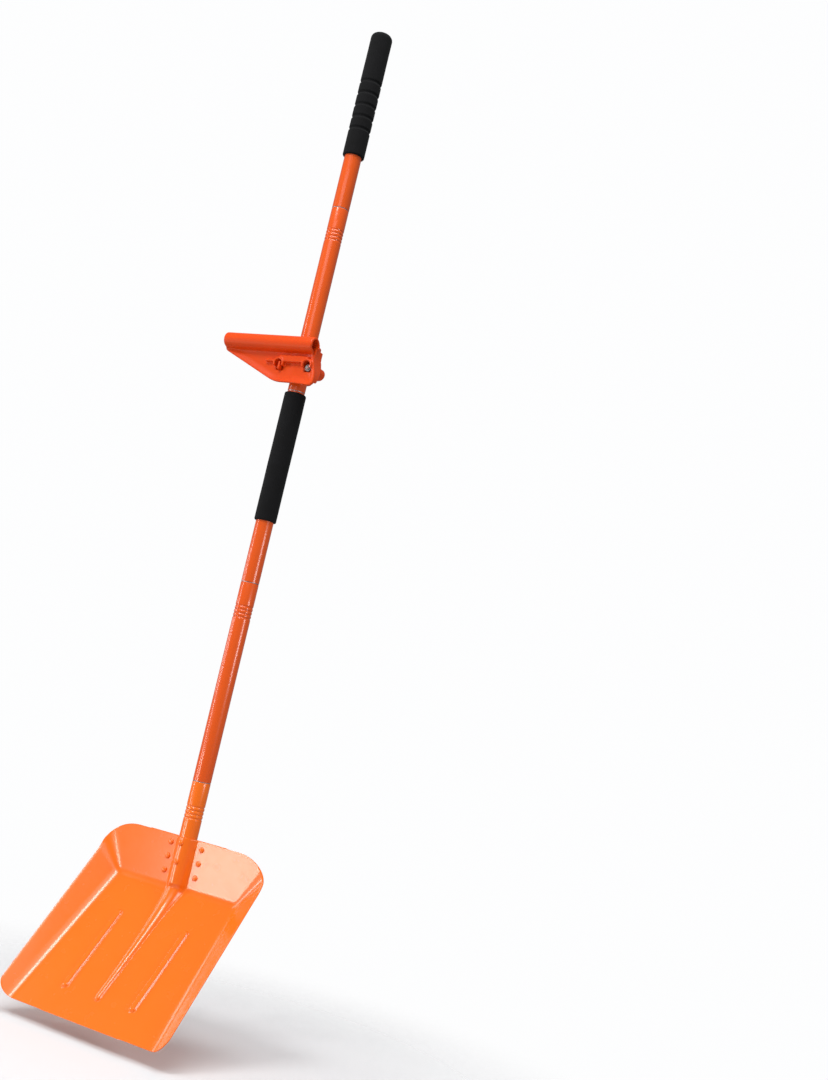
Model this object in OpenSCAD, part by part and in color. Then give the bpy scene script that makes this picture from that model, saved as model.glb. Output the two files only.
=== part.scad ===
// Avalanche shovel with a long shaft that unscrews into sections.
//
// The shovel stands upright, blade down. The origin is on the shaft's axis, in the bare
// middle of the lowest shaft section. +Z runs up the shaft, the blade's load side faces -Y,
// and +X is to the right as seen from the front. All lengths are in millimetres.

/* [Shaft] */
// Outer diameter of the shaft tubes
tube_d = 25; // [24:0.5:26]
// Wall thickness of the shaft tubes
tube_wall = 1.4; // [1.2:0.1:1.8]
// Length of one shaft section, from joint to joint
section_l = 278; // [260:1:320]
// Height of the origin above the lowest joint
clip_h = 120; // [100:1:140]
// Number of rolled rings below each joint
ring_count = 4; // [2:1:5]
// Spacing of the rolled rings
ring_pitch = 5.2; // [4.8:0.1:6]
// Depth of the rolled rings
ring_depth = 0.7; // [0.4:0.1:0.9]
// Distance from a joint down to the middle of its rolled rings
ring_drop = 41; // [34:1:44]

/* [Screw joints] */
// Outer diameter of the thread
thread_d = 16; // [14:0.5:17]
// Pitch of the thread
thread_pitch = 4; // [3:0.5:4]
// Number of turns that the thread holds
thread_turns = 5; // [4:1:6]
// Thickness of the collar that shows between two tubes
collar_t = 1; // [0.8:0.1:1.5]
// Length of each threaded insert
insert_l = 54; // [52:1:60]
// Length of each stud that is pressed into a tube
stud_l = 32; // [24:1:40]

/* [Grips] */
// Outer diameter of the top grip
top_grip_d = 32; // [31:0.5:35]
// Length of the top grip
top_grip_l = 195; // [180:1:210]
// Outer diameter of the middle grip
mid_grip_d = 31; // [30:0.5:33]
// Length of the middle grip
mid_grip_l = 187; // [160:1:200]
// Number of grooves in the top grip
groove_count = 5; // [3:1:7]
// Spacing of the grooves
groove_pitch = 18.6; // [14:0.1:20]
// Depth of the grooves
groove_depth = 1.3; // [0.8:0.1:1.8]

/* [Blade] */
// Thickness of the blade's sheet
sheet_t = 1.6; // [1.4:0.1:2]
// Angle between the rear wall and the floor
floor_angle = 38; // [36:1:44]
// Distance from the lowest joint down to the bend of the rear wall
bend_drop = 143.5; // [138:0.5:150]
// Length of the floor, from the bend to the front edge
floor_l = 215; // [200:1:240]
// Height of the rear wall above the bend, along the wall
rear_h = 67.5; // [60:0.5:70]
// Half width of the floor at the bend
floor_w_rear = 100.5; // [96:0.5:104]
// Half width of the floor at the front edge
floor_w_front = 118; // [110:0.5:120]
// Half width of the rim at the bend
rim_w_rear = 134.5; // [130:0.5:138]
// Half width of the rim at the front edge
rim_w_front = 138; // [134:0.5:141]
// Rise of the side walls per unit of width, at the bend
side_rise = 0.67; // [0.6:0.01:0.75]
// Sag of the floor's middle below its edges
floor_sag = 2; // [0:0.5:3]
// Distance of the side ribs from the middle of the floor
rib_x = 56; // [50:0.5:60]
// Height of the side ribs
rib_h = 3; // [2:0.1:4]

/* [Rivets] */
// Spacing of the strap rivets along the shaft
rivet_pitch = 18.8; // [17:0.1:19]
// Distance of the strap rivets from the shaft's axis
rivet_x = 26; // [24:0.5:27]
// Diameter of the rivet heads
rivet_head_d = 8; // [7:0.5:9]

/* [Auxiliary handle] */
// Outer diameter of the handle's bar
bar_d = 22; // [20:0.5:24]
// How far the bar reaches to the left of the shaft's axis
bar_left = 121.5; // [110:0.5:140]
// How far the bar reaches to the right of the shaft's axis
bar_right = 31.5; // [30:0.5:36]
// Height of the handle from its lower lip to its top
handle_h = 70; // [69:1:74]
// Height of the handle's lower lip above the joint under it
handle_rise = 5; // [4:1:20]
// Distance of the clamp bolt from the shaft's axis
bolt_x = 24; // [23.5:0.5:25]

/* [Hidden] */

$fn = 64;
fit = 0.05;             // radial clearance of the turning and pressed fits
joint_gap = 0.05;       // clearance on each side of a joint's collar

tube_r = tube_d / 2;
bore_r = tube_r - tube_wall;
core_r = bore_r - fit;  // inserts, studs and plug inside the tubes
thread_r = thread_d / 2;
thread_l = thread_pitch * thread_turns;

joint_z = [for (k = [0:3]) k * section_l - clip_h];
tube_foot = collar_t + 2 * joint_gap;   // where a tube starts above its joint
top_z = 4 * section_l - clip_h;         // crown of the top grip
cap_t = 9;                              // foam over the end of the top tube
plug_l = 22;
plug_flange_t = 2;

socket_l = 133;                         // socket tube, from the lowest joint down
bend_z = joint_z[0] - bend_drop;
channel_r = tube_r + 0.1 + sheet_t;     // outer radius of the channel over the tube
flank_a = 62;                           // steepness of the channel's flanks
channel_w = 17.5;                       // half width of the channel at the wall
spine_w = 4.5;                          // half width of the floor's central rib at its end
spine_ramp = 12;                        // length over which its end falls to the floor
fade_from = -5;                         // the channel starts to narrow here
fade_l = 60;                            // length over which it narrows to about a third
fade_power = 2.3;                       // its height falls this much faster than its width
spine_h = 3;
spine_end = 181;
side_rise_front = side_rise - 0.01;
bend_k = 4.5;                           // softness of the bend between floor and walls
corner_k = [5, 0.45];                   // softness of the rear corners, and its growth with height
rear_corner = [51, 30];                 // size of the rim's rear corners, across and along
front_corner = [20, 18];                // size of the rim's front corners
rib_w = 5.5;
rib_from = 58;
rib_to = 174;
rear_top = -rear_h * cos(floor_angle);  // the rear wall's top edge, measured along the floor

rivet_r = 2.4;
rivet_top_z = joint_z[0] - 86.3;
socket_rivet_z = [joint_z[0] - 83.1, joint_z[0] - 107.8];
socket_rivet_in = 0.35;                 // the heads bed this far into the channel's crown
socket_tail_r = 3.2;
strap_t = 1.5;
strap_w = 34;
strap_top = rivet_top_z + 7;
strap_h = 2 * rivet_pitch + 14;

liner_t = 1.4;
saddle_in = tube_r + fit + liner_t;
saddle_out = 18;
half_gap = 0.6;                         // each clamp half stops this far from the shaft's axis
handle_z = joint_z[2] + handle_rise;
bar_r = bar_d / 2;
bar_y = -25;
bar_z = handle_z + handle_h - bar_r;
bar_bore_r = 7.5;
web_y = [-20, -15];
lip_y = -25;
web_rise = 3;                           // lowest edge of the web over the handle's foot
web_slope = 0.44;                       // rise of the web's edge towards the bar's left end
web_turn = -27.5;                       // where the edge starts to rise
saddle_rise = 11;                       // the saddle starts this far over the handle's foot
lip_t = 2.6;
boss_r = 8.6;
boss_y = -27;
boss_z = handle_z + 27;
pocket_r = 6.2;
pocket_y = -14.5;
bolt_r = 3;
ear_y = 13;
hook_w = 6;
hook_h = 11;

orange = [0.98, 0.45, 0.14];
deep_orange = [0.93, 0.34, 0.12];
plastic_orange = [0.90, 0.27, 0.10];
black_foam = [0.10, 0.10, 0.11];
bare_metal = [0.75, 0.75, 0.76];

function reverse(list) = [for (i = [len(list) - 1:-1:0]) list[i]];
function mix(a, b, t) = a + (b - a) * t;
function clamp01(t) = min(1, max(0, t));

// Larger of two heights, with a rounded corner between them
function soft_max(a, b, k) = max(a, b) + pow(max(0, k - abs(a - b)), 2) / (4 * k);

// ---- Shaft ---------------------------------------------------------------------------

// One rolled ring: distance along the tube and share of the depth
ring_shape = [[-1.9, 0], [-1.1, 0.6], [0, 1], [1.1, 0.6], [1.9, 0]];

// Points of a line at radius r that dips through the rolled rings centred on height zc
function ring_line(r, zc) = [
    for (i = [0:ring_count - 1], p = ring_shape)
        [r - ring_depth * p[1], zc + (i - (ring_count - 1) / 2) * ring_pitch + p[0]]
];

// Tube from z0 to z1, with rolled rings under its upper end if it holds an insert there
module tube(z0, z1, ringed) {
    edge = 0.3;
    outer = concat([[tube_r - edge, z0], [tube_r, z0 + edge]],
                   ringed ? ring_line(tube_r, z1 - ring_drop) : [],
                   [[tube_r, z1 - edge], [tube_r - edge, z1]]);
    inner = concat([[bore_r, z0]], ringed ? ring_line(bore_r, z1 - ring_drop) : [],
                   [[bore_r, z1]]);
    rotate_extrude() polygon(concat(outer, reverse(inner)));
}

module shaft_tube(k) {
    color(deep_orange)
        tube(joint_z[k - 1] + tube_foot, k < 4 ? joint_z[k] : top_z - cap_t - plug_flange_t, k < 4);
}

// Threaded insert whose mouth is at height z, held by the rolled rings
module insert(z) {
    outer = concat([[core_r, z - insert_l]], ring_line(core_r, z - ring_drop), [[core_r, z]]);
    inner = [[thread_r + fit + 0.6, z], [thread_r + fit, z - 0.8], [thread_r + fit, z - insert_l]];
    color(bare_metal) rotate_extrude() polygon(concat(outer, inner));
}

// Stud pressed into the tube above a joint at height z, with its thread hanging below
module stud(z) {
    root_r = thread_r - 0.9;
    bore = 4;
    ridges = [
        for (i = [thread_turns - 1:-1:0], p = [[0, -3.4], [0.9, -2.6], [0.9, -1.6], [0, -0.8]])
            [root_r + p[0], z - i * thread_pitch + p[1]]
    ];
    tip = [[bore, z - thread_l - 1.2], [root_r - 0.8, z - thread_l - 1.2], [root_r, z - thread_l - 0.2]];
    collar_z = z + joint_gap;
    body = [[root_r, collar_z], [tube_r - 0.4, collar_z], [tube_r - 0.4, collar_z + collar_t],
            [core_r, collar_z + collar_t], [core_r, collar_z + stud_l - 0.6],
            [core_r - 0.6, collar_z + stud_l], [bore, collar_z + stud_l]];
    color(bare_metal) rotate_extrude() polygon(concat(tip, ridges, body));
}

module socket_tube() {
    color(orange) difference() {
        tube(joint_z[0] - socket_l, joint_z[0], true);
        for (z = socket_rivet_z) translate([0, 0, z]) rotate([90, 0, 0])
            cylinder(r = rivet_r + fit, h = tube_d);
    }
}

module socket_insert() insert(joint_z[0]);

module top_plug() {
    shelf = top_z - cap_t;
    wall = 2.2;
    color(black_foam) rotate_extrude() polygon([
        [0, shelf], [tube_r, shelf], [tube_r, shelf - plug_flange_t], [core_r, shelf - plug_flange_t],
        [core_r, shelf - plug_l + 1], [core_r - 1, shelf - plug_l], [core_r - wall, shelf - plug_l],
        [core_r - wall, shelf - plug_flange_t - 1], [0, shelf - plug_flange_t - 1]
    ]);
}

// ---- Grips ---------------------------------------------------------------------------

// Quarter round of radius e whose centre is [r - e, z], swept from angle a0 to a1
function round_edge(r, z, e, a0, a1) = [
    for (i = [0:6]) let (a = mix(a0, a1, i / 6)) [r - e + e * cos(a), z + e * sin(a)]
];

module top_grip() {
    r = top_grip_d / 2;
    z0 = top_z - top_grip_l;
    dome = 8;
    grooves = [
        for (i = [0:groove_count - 1], p = [[-3.2, 0], [-1.8, 0.7], [0, 1], [1.8, 0.7], [3.2, 0]])
            [r - groove_depth * p[1], z0 + 40.8 + i * groove_pitch + p[0]]
    ];
    crown = [for (i = [0:8]) let (a = i * 90 / 8)
        [r - dome + dome * cos(a), top_z - dome + dome * sin(a) - 0.6]];
    color(black_foam) rotate_extrude() polygon(concat(
        [[tube_r + fit, z0]], round_edge(r, z0 + 2, 2, -90, 0), grooves, crown,
        [[0, top_z], [0, top_z - cap_t + fit], [tube_r + fit, top_z - cap_t + fit]]));
}

module mid_grip() {
    r = mid_grip_d / 2;
    z1 = joint_z[2] - 2;
    z0 = z1 - mid_grip_l;
    color(black_foam) rotate_extrude() polygon(concat(
        [[tube_r + fit, z0]], round_edge(r, z0 + 2, 2, -90, 0), round_edge(r, z1 - 2, 2, 0, 90),
        [[tube_r + fit, z1]]));
}

// ---- Blade ---------------------------------------------------------------------------
// The sheet is described over its floor: x across, v along the floor from the bend (minus
// up the rear wall), and a height above the floor's plane.

along = [0, -sin(floor_angle), -cos(floor_angle)];
above = [0, -cos(floor_angle), sin(floor_angle)];

function floor_share(v) = clamp01(v / floor_l);
function rear_wall(v) = -v * tan(floor_angle);
function side_wall(x, v) = mix(side_rise, side_rise_front, floor_share(v))
    * (abs(x) - mix(floor_w_rear, floor_w_front, v / floor_l));
function floor_dip(x, v) = v <= 0 || v >= floor_l ? 0
    : -floor_sag * sin(180 * v / floor_l) * max(0, 1 - pow(x / floor_w_rear, 2));
function walls(x, v) = let (rear = rear_wall(v), side = side_wall(x, v))
    soft_max(rear, side, corner_k[0] + corner_k[1] * max(0, rear, side));
function dish(x, v) = soft_max(walls(x, v), floor_dip(x, v), bend_k);

// Lean of the middle of the sheet from the floor's plane, which the channel stands square to
function lean(v) = -atan((dish(0, v + 0.5) - dish(0, v - 0.5)));

// Half width and height of the channel, which runs out into the floor's central rib
function channel_fade(v) = v < fade_from ? 1 : exp((fade_from - v) / fade_l);
function channel_half(v) = mix(spine_w, channel_w, channel_fade(v));
function spine_stop(v) = sqrt(clamp01((spine_end - v) / spine_ramp));
function channel_high(v) = mix(spine_h, channel_r, pow(channel_fade(v), fade_power)) * spine_stop(v);

// Cross-section of the channel: round over the tube, then straight flanks
function channel_arch(x) = let (foot = channel_r * sin(flank_a))
    x < foot ? sqrt(channel_r * channel_r - x * x)
             : channel_r * cos(flank_a) - (x - foot) * tan(flank_a);
function channel(x, v) = channel_high(v) / channel_r
    * soft_max(channel_arch(abs(x) * channel_w / channel_half(v)), 0, 2);

// Raised side rib with round ends
function rib(x, v) = let (d = norm([abs(x) - rib_x, v - min(rib_to, max(rib_from, v))]) / rib_w)
    d < 1 ? rib_h * pow(1 - pow(d, 4), 1.5) : 0;

// A point on the load side of the sheet
function skin(x, v) = [x, 0, bend_z] + v * along + (dish(x, v) + rib(x, v)) * above
    + channel(x, v) * (cos(lean(v)) * above + sin(lean(v)) * along);

// The same point on the other side of the sheet
function back(x, v) = let (n = cross(skin(x, v + 0.2) - skin(x, v - 0.2),
                                     skin(x + 0.2, v) - skin(x - 0.2, v)))
    skin(x, v) - sheet_t * n / norm(n);

// Half width of the rim at v, with a rounded corner at each end
function corner_cut(size, d) = d <= 0 ? 0 : size[0] * (1 - sqrt(max(0, 1 - pow(d / size[1], 2))));
function rim(v) = mix(rim_w_rear, rim_w_front, floor_share(v))
    - corner_cut(rear_corner, rear_top + rear_corner[1] - v)
    - corner_cut(front_corner, v - floor_l + front_corner[1]);

// Steps from a to b, and steps that crowd towards a or b as a rounded corner needs
function steps(a, b, n) = [for (i = [0:n - 1]) mix(a, b, i / n)];
rows = concat([for (i = [0:7]) rear_top + rear_corner[1] * (1 - cos(i * 90 / 8))],
              steps(rear_top + rear_corner[1], -8, 3), steps(-8, 10, 8),
              steps(10, floor_l - front_corner[1], 26),
              [for (i = [0:6]) floor_l - front_corner[1] * (1 - sin(i * 90 / 6))]);

// Places across one half of the sheet: channel, floor, rib, then on to the rim
channel_steps = [0, 0.17, 0.34, 0.48, 0.6, 0.7, 0.8, 0.9, 1.03];
rib_steps = [-1, -0.75, -0.4, 0, 0.4, 0.75, 1];
function half_row(v) = let (a = channel_half(v), r0 = rib_x - rib_w, r1 = rib_x + rib_w)
    concat([for (s = channel_steps) a * s], [for (i = [1:3]) mix(1.03 * a, r0, i / 4)],
           [for (s = rib_steps) rib_x + s * rib_w],
           [for (i = [1:10]) mix(r1, rim(v), i / 10)]);
function whole_row(v) = let (half = half_row(v))
    concat([for (i = [len(half) - 1:-1:1]) -half[i]], half);

// Closed solid between two grids of points that share their edges' order
module sheet_solid(front, rear) {
    nr = len(front);
    nc = len(front[0]);
    m = nr * nc;
    points = concat([for (row = front, p = row) p], [for (row = rear, p = row) p]);
    loop = concat([for (j = [0:nc - 1]) j], [for (i = [1:nr - 1]) i * nc + nc - 1],
                  [for (j = [nc - 2:-1:0]) (nr - 1) * nc + j], [for (i = [nr - 2:-1:1]) i * nc]);
    faces = concat(
        [for (i = [0:nr - 2], j = [0:nc - 2]) let (a = i * nc + j)
            each [[a, a + 1, a + nc + 1], [a, a + nc + 1, a + nc]]],
        [for (i = [0:nr - 2], j = [0:nc - 2]) let (a = m + i * nc + j)
            each [[a, a + nc + 1, a + 1], [a, a + nc, a + nc + 1]]],
        [for (k = [0:len(loop) - 1]) let (a = loop[k], b = loop[(k + 1) % len(loop)])
            each [[a, m + a, m + b], [a, m + b, b]]]);
    polyhedron(points, faces, convexity = 6);
}

module blade() {
    color(orange) sheet_solid([for (v = rows) [for (x = whole_row(v)) skin(x, v)]],
                              [for (v = rows) [for (x = whole_row(v)) back(x, v)]]);
}

// ---- Strap and rivets ----------------------------------------------------------------

// Closing strap behind the wall: a saddle round the back of the socket tube with two wings
module back_strap() {
    r_in = tube_r + fit;
    r_out = r_in + strap_t;
    color(orange) difference() {
        translate([0, 0, strap_top - strap_h]) linear_extrude(strap_h) {
            difference() {
                circle(r_out);
                circle(r_in);
                translate([-tube_d, -tube_d]) square([2 * tube_d, tube_d + sheet_t + fit]);
            }
            for (s = [-1, 1])
                translate([s > 0 ? r_in : -strap_w, sheet_t + fit]) square([strap_w - r_in, strap_t]);
        }
        for (p = strap_rivet_places)
            translate([p[0], 0, p[1]]) rotate([-90, 0, 0]) cylinder(r = rivet_r + fit, h = tube_d);
    }
}

strap_rivet_places = [for (s = [-1, 1], i = [0:2]) [s * rivet_x, rivet_top_z - i * rivet_pitch]];

// Rivet with a domed head whose underside is at y = 0, pointing towards +Y through the grip
module rivet(grip, tail_r) {
    head_r = rivet_head_d / 2;
    dome = [for (i = [0:6]) [head_r * cos(i * 15), head_r * 0.62 * sin(i * 15)]];
    rotate([90, 0, 0]) rotate_extrude() polygon(concat(
        [[0, -grip - 1.2], [tail_r - 0.5, -grip - 1.2], [tail_r, -grip - 0.7], [tail_r, -grip],
         [rivet_r, -grip], [rivet_r, 0]], dome));
}

module strap_rivets() {
    color(orange) for (p = strap_rivet_places)
        translate([p[0], 0, p[1]]) rivet(sheet_t + 2 * fit + strap_t, 3.6);
}

module socket_rivets() {
    color(orange) for (z = socket_rivet_z)
        translate([0, -channel_r + socket_rivet_in, z])
            rivet(channel_r - socket_rivet_in - sqrt(pow(bore_r, 2) - pow(socket_tail_r, 2)) + fit,
                  socket_tail_r);
}

// ---- Auxiliary handle ----------------------------------------------------------------

// Lower edge of the handle's web at x: it falls from the bar's left end and runs level by the clamp
function web_foot(x) = handle_z + web_rise
    + soft_max(web_slope * (web_turn - x), -0.05 * max(0, x), 5);
web_line = [for (i = [0:20]) let (x = mix(1 - bar_left, bar_right + 6, i / 20)) [x, web_foot(x)]];
// Right edge of the web, from its lower corner up to the bar
web_end = [[8, 9], [8, 16], [5, 27], [0.5, 40], [-1, 48]];
web_right = [for (p = web_end) [bar_right + p[0], handle_z + p[1]]];

// Upright plate with the outline given in x and z, from y0 to y1
module plate(outline, y0, y1) {
    translate([0, y1, 0]) rotate([90, 0, 0]) linear_extrude(y1 - y0) polygon(outline);
}

// Round hole along y at x and z
module y_hole(x, z, r, y0, y1) {
    translate([x, y1, z]) rotate([90, 0, 0]) cylinder(r = r, h = y1 - y0);
}

// Pocket in a boss's front face, round at the top and open at the bottom
module pocket(x) {
    y_hole(x, boss_z, pocket_r, boss_y - 1, pocket_y);
    translate([x - pocket_r, boss_y - 1, boss_z - 20]) cube([2 * pocket_r, pocket_y - boss_y + 1, 20]);
}

// Half of the clamp's saddle: the front half lies at -Y, the rear half at +Y
module saddle(side, z0, z1) {
    translate([0, 0, z0]) linear_extrude(z1 - z0) difference() {
        circle(saddle_out);
        circle(saddle_in);
        translate([-30, side > 0 ? half_gap - 60 : -half_gap]) square([60, 60]);
    }
}

module handle_bar() {
    edge = 2.5;
    profile = concat([[0, 0]],
                     [for (i = [0:5]) [bar_r - edge + edge * sin(i * 18), edge - edge * cos(i * 18)]],
                     [[bar_r, bar_left + bar_right - 0.8], [bar_r - 0.8, bar_left + bar_right],
                      [0, bar_left + bar_right]]);
    translate([-bar_left, bar_y, bar_z]) rotate([0, 90, 0]) rotate_extrude() polygon(profile);
}

module handle_shell() {
    ledge_z = boss_z + 9;
    color(plastic_orange) difference() {
        union() {
            handle_bar();
            plate(concat(web_line, web_right, [[bar_right - 1, bar_z], [1 - bar_left, bar_z]]),
                  web_y[0], web_y[1]);
            plate(concat(web_line, reverse([for (p = web_line) p + [0, lip_t]])), lip_y, web_y[1]);
            saddle(-1, handle_z + saddle_rise, handle_z + handle_h - 4);
            for (s = [-1, 1]) {
                y_hole(s * bolt_x, boss_z, boss_r, boss_y, -half_gap);
                translate([s > 0 ? 15 : -bolt_x - 5, web_y[0], handle_z + 14]) cube([14, 19, 28]);
            }
            translate([-bolt_x - 10, boss_y, ledge_z - 3]) cube([bolt_x + bar_right + 9, 12, 4]);
            translate([-52, boss_y + 4, ledge_z - 8]) cube([22, 8, 3]);
            translate([bar_right - 4, lip_y, handle_z]) cube([3, 12, handle_h - bar_r]);
        }
        translate([0, 0, handle_z - 1]) cylinder(r = saddle_in, h = handle_h + 2);
        translate([bar_right + 1, bar_y, bar_z]) rotate([0, -90, 0])
            cylinder(r = bar_bore_r, h = bar_left + bar_right - 12);
        translate([-boss_r - bolt_x - 12, -half_gap, handle_z - 1]) cube([100, 20, handle_h + 2]);
        for (s = [-1, 1]) pocket(s * bolt_x);
        y_hole(bolt_x, boss_z, bolt_r + 0.2, -40, 20);
        translate([-bolt_x - hook_w / 2 - 0.3, -40, boss_z - hook_h / 2 - 0.3])
            cube([hook_w + 0.6, 60, hook_h + 0.6]);
    }
}

module rear_clamp() {
    top = handle_z + handle_h - 5;
    color(plastic_orange) difference() {
        union() {
            saddle(1, handle_z + saddle_rise, top);
            translate([0, 0, top - 6]) linear_extrude(6) difference() {
                circle(saddle_out + 2.5);
                translate([-30, half_gap - 60]) square([60, 60]);
            }
            for (s = [-1, 1]) {
                y_hole(s * bolt_x, boss_z, boss_r, half_gap, ear_y);
                translate([s > 0 ? 12 : -bolt_x, half_gap, boss_z - boss_r])
                    cube([bolt_x - 12, ear_y - half_gap - 2, 2 * boss_r]);
            }
            translate([-bolt_x - hook_w / 2, boss_y + 4, boss_z - hook_h / 2])
                cube([hook_w, ear_y - boss_y - 6, hook_h]);
            translate([-bolt_x - hook_w / 2 - 1.6, boss_y + 4, boss_z - hook_h / 2])
                cube([3, -boss_y - 4 + pocket_y - 0.4, 0.7 * hook_h]);
        }
        translate([0, 0, handle_z]) cylinder(r = saddle_in, h = handle_h);
        y_hole(bolt_x, boss_z, bolt_r + 0.2, 0, 20);
    }
}

module clamp_liner() {
    color(black_foam) translate([0, 0, handle_z + saddle_rise + 1])
        linear_extrude(handle_h - saddle_rise - 8) difference() {
        circle(saddle_in - fit);
        circle(tube_r + fit);
        translate([tube_r - 3, -1]) square([6, 2]);
    }
}

nut_t = 5;
washer_t = 1.2;

module clamp_bolt() {
    head = [for (i = [0:6]) [5.5 * cos(i * 15), 3 + 1.2 * sin(i * 15)]];
    tip = pocket_y - washer_t - nut_t - 3;
    color(bare_metal) translate([bolt_x, ear_y, boss_z]) rotate([-90, 0, 0]) rotate_extrude()
        polygon(concat([[0, tip - ear_y], [bolt_r - 0.5, tip - ear_y], [bolt_r, tip - ear_y + 0.5],
                        [bolt_r, 0], [5.5, 0]], head));
}

module clamp_nut() {
    color(bare_metal) translate([bolt_x, pocket_y - washer_t, boss_z]) rotate([90, 0, 0])
        linear_extrude(nut_t) difference() {
            circle(d = 11.5, $fn = 6);
            circle(bolt_r + fit);
        }
}

module clamp_washer() {
    color(bare_metal) translate([bolt_x, pocket_y, boss_z]) rotate([90, 0, 0])
        linear_extrude(washer_t) difference() {
            circle(6);
            circle(bolt_r + 0.2);
        }
}

// ---- Nodes ---------------------------------------------------------------------------

blade();
back_strap();
strap_rivets();
socket_rivets();
socket_tube();
socket_insert();
shaft_tube(1);  // shaft_tube_1
shaft_tube(2);  // shaft_tube_2
shaft_tube(3);  // shaft_tube_3
shaft_tube(4);  // shaft_tube_4
stud(joint_z[0]);  // shaft_stud_1
stud(joint_z[1]);  // shaft_stud_2
stud(joint_z[2]);  // shaft_stud_3
stud(joint_z[3]);  // shaft_stud_4
insert(joint_z[1]);  // shaft_insert_1
insert(joint_z[2]);  // shaft_insert_2
insert(joint_z[3]);  // shaft_insert_3
top_plug();
top_grip();
mid_grip();
clamp_liner();
handle_shell();
rear_clamp();
clamp_bolt();
clamp_nut();
clamp_washer();
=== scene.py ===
"""Avalanche shovel: the looks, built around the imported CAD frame.

Shapes are made in millimetres in the frame of the CAD model: the origin is on the shaft's axis in
the middle of its lowest section, +Z runs up the shaft, and the blade's load side faces -Y.
"""

import math

import bpy
import numpy as np
import openvdb
from mathutils import Matrix, Vector


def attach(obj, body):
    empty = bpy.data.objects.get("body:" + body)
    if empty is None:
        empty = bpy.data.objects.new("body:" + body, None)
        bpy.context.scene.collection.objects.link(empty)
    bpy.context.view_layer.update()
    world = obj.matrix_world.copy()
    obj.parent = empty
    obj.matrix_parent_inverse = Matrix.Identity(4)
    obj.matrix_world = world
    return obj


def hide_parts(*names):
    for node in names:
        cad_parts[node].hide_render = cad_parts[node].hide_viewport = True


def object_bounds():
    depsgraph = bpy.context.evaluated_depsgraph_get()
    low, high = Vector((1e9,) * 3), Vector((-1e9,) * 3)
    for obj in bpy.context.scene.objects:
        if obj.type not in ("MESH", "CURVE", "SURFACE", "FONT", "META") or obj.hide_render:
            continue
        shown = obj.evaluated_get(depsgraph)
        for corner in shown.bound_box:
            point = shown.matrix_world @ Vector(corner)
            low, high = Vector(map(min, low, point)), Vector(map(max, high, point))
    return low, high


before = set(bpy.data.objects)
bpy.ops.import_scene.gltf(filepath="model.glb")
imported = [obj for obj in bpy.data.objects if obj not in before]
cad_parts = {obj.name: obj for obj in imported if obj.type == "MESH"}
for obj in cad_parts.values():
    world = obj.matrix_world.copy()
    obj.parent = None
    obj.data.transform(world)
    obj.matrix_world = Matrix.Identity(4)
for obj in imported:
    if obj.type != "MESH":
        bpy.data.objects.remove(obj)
cad_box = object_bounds()

MM = 0.001

# ---- Sizes that repeat the CAD model's, in millimetres -----------------------------------

TUBE_R = 12.5
BORE_R = 11.1
CORE_R = 11.05
SECTION = 278
JOINT_Z = [SECTION * k - 120 for k in range(4)]
TOP_Z = 4 * SECTION - 120
CAP_T = 9
SOCKET_FOOT = JOINT_Z[0] - 133
JOINT_GAP = 0.05
COLLAR_T = 1

RING_COUNT = 4
RING_PITCH = 5.2
RING_DEPTH = 0.7
RING_DROP = 41
RING_HALF = 1.9

THREAD_R = 8
THREAD_PITCH = 4
THREAD_L = 20
STUD_L = 32

TOP_GRIP_R = 16
TOP_GRIP_L = 195
MID_GRIP_R = 15.5
MID_GRIP_L = 187
GROOVES = 5
GROOVE_PITCH = 18.6
GROOVE_START = 40.8
GROOVE_DEPTH = 1.3

SHEET_T = 1.6
FLOOR_A = math.radians(38)
BEND_Z = JOINT_Z[0] - 143.5
FLOOR_L = 215
REAR_H = 67.5
FLOOR_W = (100.5, 118)
RIM_W = (134.5, 138)
SIDE_RISE = (0.67, 0.66)
FLOOR_SAG = 2
RIB_X = 56
RIB_W = 5.5
RIB_H = 3
RIB_V = (58, 174)
CHANNEL_R = TUBE_R + 0.1 + SHEET_T
CHANNEL_W = 17.5
FLANK_A = math.radians(62)
SPINE_W = 4.5
SPINE_H = 3
SPINE_END = 181
FADE_FROM = -5
FADE_L = 60
FADE_POWER = 2.3
BEND_K = 4.5
CORNER_K = (5, 0.45)
REAR_CORNER = (51, 30)
FRONT_CORNER = (20, 18)
REAR_TOP = -REAR_H * math.cos(FLOOR_A)

RIVET_X = 26
RIVET_PITCH = 18.8
RIVET_TOP_Z = JOINT_Z[0] - 86.3
SOCKET_RIVET_Z = (JOINT_Z[0] - 83.1, JOINT_Z[0] - 107.8)
RIVET_HEAD_R = 4
STRAP_T = 1.5
STRAP_W = 34
STRAP_H = 2 * RIVET_PITCH + 14
STRAP_TOP = RIVET_TOP_Z + 7

HANDLE_Z = JOINT_Z[2]       # the handle's own heights start here
BAR_R = 11
BAR_Y = -25
BAR_Z = 64
BAR_X = (-121.5, 31.5)
SADDLE_IN = 13.95
SADDLE_OUT = 18
HALF_GAP = 0.6
BOSS_X = 24
BOSS_Z = 32
BOSS_Y = -27
POCKET_Y = -14.5
BOLT_R = 3
EAR_Y = 13
WASHER_T = 1.2
NUT_T = 5
BOSS_R = 8.6
HOOK_HALF = 5.5
WEB_Y = -17.5
WEB_FOOT_Z = 8
WEB_SLOPE = 0.44
WEB_TURN = -27.5

# ---- Sizes of the looks alone, in millimetres --------------------------------------------

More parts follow.
